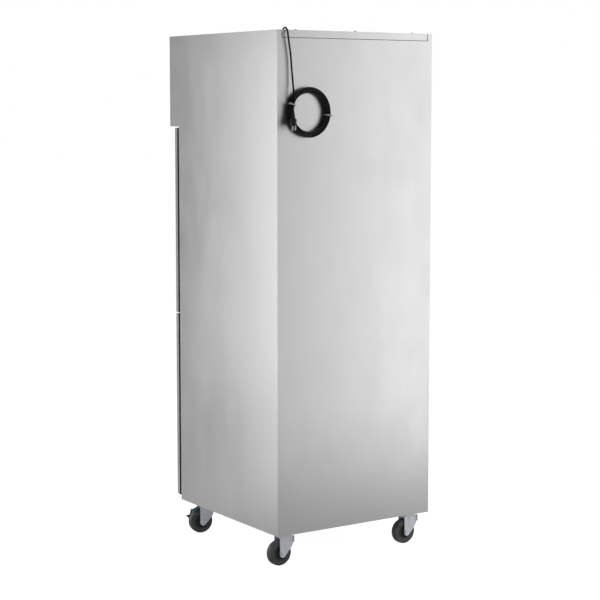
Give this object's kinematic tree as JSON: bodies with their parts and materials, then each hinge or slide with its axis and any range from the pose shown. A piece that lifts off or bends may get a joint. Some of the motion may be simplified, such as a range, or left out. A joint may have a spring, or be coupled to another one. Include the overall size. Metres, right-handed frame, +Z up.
{
  "type": "proofing cabinet",
  "caption": "Tall insulated stainless proofing cabinet on swivel casters, with stacked half doors, a control head, tray slides inside and a coiled mains lead behind.",
  "frame": {"origin": "on the floor, in the middle of the footprint between the rear panel and the door handles", "axes": "+Z up, +X to the cabinet's side without hinges (right, seen from the front), -Y towards the front"},
  "size_m": [0.7584, 0.9115, 2.0905],
  "materials": {
    "stainless": "satin",
    "liner_steel": "satin",
    "galvanised": "satin",
    "zinc": "satin",
    "foam": "matte",
    "black_plastic": "satin",
    "gasket_rubber": "matte",
    "wheel_rubber": "matte",
    "cord_pvc": "satin",
    "tie_nylon": "satin",
    "chrome": "polished",
    "dark_glass": "gloss",
    "lamp_lens": "gloss",
    "heater_sheath": "matte",
    "motor_paint": "satin",
    "switch_plastic": "gloss"
  },
  "bodies": {
    "root": {"side_panel_right": "stainless", "side_panel_left": "stainless", "rear_panel": "stainless", "base_pan": "galvanised", "top_cover": "stainless", "top_cover_screws": "stainless", "control_fascia": "stainless", "head_deck": "stainless", "liner_walls": "liner_steel", "liner_ceiling": "liner_steel", "liner_floor": "liner_steel", "insulation": "foam", "door_jambs": "stainless", "frame_rails": "stainless", "rack_uprights": "stainless", "tray_slides": "liner_steel", "air_baffle": "liner_steel", "heater_coil": "heater_sheath", "fan_motor": "motor_paint", "water_pan": "liner_steel", "control_box": "galvanised", "display_window": "dark_glass", "pilot_lamps": "lamp_lens", "hinge_leaves": "stainless", "hinge_pins": "stainless", "caster_plates": "zinc", "caster_bolts": "zinc", "cord_gland": "black_plastic", "cord_tube": "cord_pvc", "cord_coil": "cord_pvc", "cord_tail": "cord_pvc", "cord_ties": "tie_nylon", "plug_body": "cord_pvc", "plug_blades": "chrome"},
    "fan": {"fan_wheel": "galvanised"},
    "power_switch": {"power_switch": "switch_plastic"},
    "temperature_knob": {"temperature_knob": "black_plastic"},
    "humidity_knob": {"humidity_knob": "black_plastic"},
    "upper_door": {"upper_door_skin": "stainless", "upper_door_liner": "black_plastic", "upper_door_core": "foam", "upper_door_gasket": "gasket_rubber", "upper_door_handle": "stainless", "upper_door_hinge": "stainless"},
    "lower_door": {"lower_door_skin": "stainless", "lower_door_liner": "black_plastic", "lower_door_core": "foam", "lower_door_gasket": "gasket_rubber", "lower_door_handle": "stainless", "lower_door_hinge": "stainless"},
    "rear_right_swivel": {"rear_right_fork": "zinc"},
    "rear_right_roller": {"rear_right_wheel": "wheel_rubber"},
    "rear_left_swivel": {"rear_left_fork": "zinc"},
    "rear_left_roller": {"rear_left_wheel": "wheel_rubber"},
    "front_right_swivel": {"front_right_fork": "zinc"},
    "front_right_roller": {"front_right_wheel": "wheel_rubber"},
    "front_left_swivel": {"front_left_fork": "zinc"},
    "front_left_roller": {"front_left_wheel": "wheel_rubber"},
    "front_right_brake": {"front_right_pedal": "zinc"},
    "front_left_brake": {"front_left_pedal": "zinc"}
  },
  "joints": [
    {"name": "upper_door_hinge", "type": "hinge", "parent": "root", "child": "upper_door", "pos_m": [-0.361, -0.385, 1.31275], "axis": [0, 0, -1], "range_deg": [0, 110]},
    {"name": "lower_door_hinge", "type": "hinge", "parent": "root", "child": "lower_door", "pos_m": [-0.361, -0.385, 0.53025], "axis": [0, 0, -1], "range_deg": [0, 110]},
    {"name": "fan_spin", "type": "hinge", "parent": "root", "child": "fan", "pos_m": [0, 0.06, 1.62], "axis": [0, 0, 1], "continuous": true},
    {"name": "power_switch_rock", "type": "hinge", "parent": "root", "child": "power_switch", "pos_m": [0.27, -0.387, 1.897], "axis": [-1, 0, 0], "range_deg": [0, 16]},
    {"name": "temperature_knob_turn", "type": "hinge", "parent": "root", "child": "temperature_knob", "pos_m": [0.09, -0.395, 1.897], "axis": [0, 1, 0], "range_deg": [0, 270]},
    {"name": "humidity_knob_turn", "type": "hinge", "parent": "root", "child": "humidity_knob", "pos_m": [0.19, -0.395, 1.897], "axis": [0, 1, 0], "range_deg": [0, 270]},
    {"name": "rear_right_swivel_turn", "type": "hinge", "parent": "root", "child": "rear_right_swivel", "pos_m": [0.3045, 0.373, 0.12], "axis": [0, 0, 1], "continuous": true},
    {"name": "rear_right_wheel_spin", "type": "hinge", "parent": "rear_right_swivel", "child": "rear_right_roller", "pos_m": [0.3265, 0.373, 0.05], "axis": [0, 1, 0], "continuous": true},
    {"name": "rear_left_swivel_turn", "type": "hinge", "parent": "root", "child": "rear_left_swivel", "pos_m": [-0.3045, 0.373, 0.12], "axis": [0, 0, 1], "continuous": true},
    {"name": "rear_left_wheel_spin", "type": "hinge", "parent": "rear_left_swivel", "child": "rear_left_roller", "pos_m": [-0.2825, 0.373, 0.05], "axis": [0, 1, 0], "continuous": true},
    {"name": "front_right_swivel_turn", "type": "hinge", "parent": "root", "child": "front_right_swivel", "pos_m": [0.3045, -0.233, 0.12], "axis": [0, 0, 1], "continuous": true},
    {"name": "front_right_wheel_spin", "type": "hinge", "parent": "front_right_swivel", "child": "front_right_roller", "pos_m": [0.32617, -0.23682, 0.05], "axis": [0.1736, 0.9848, 0], "continuous": true},
    {"name": "front_right_brake_press", "type": "hinge", "parent": "front_right_swivel", "child": "front_right_brake", "pos_m": [0.32715, -0.23699, 0.1073], "axis": [0.1736, 0.9848, 0], "range_deg": [0, 8]},
    {"name": "front_left_swivel_turn", "type": "hinge", "parent": "root", "child": "front_left_swivel", "pos_m": [-0.3045, -0.233, 0.12], "axis": [0, 0, 1], "continuous": true},
    {"name": "front_left_wheel_spin", "type": "hinge", "parent": "front_left_swivel", "child": "front_left_roller", "pos_m": [-0.32617, -0.23682, 0.05], "axis": [0.1736, -0.9848, 0], "continuous": true},
    {"name": "front_left_brake_press", "type": "hinge", "parent": "front_left_swivel", "child": "front_left_brake", "pos_m": [-0.32715, -0.23699, 0.1073], "axis": [0.1736, -0.9848, 0], "range_deg": [0, 8]}
  ]
}
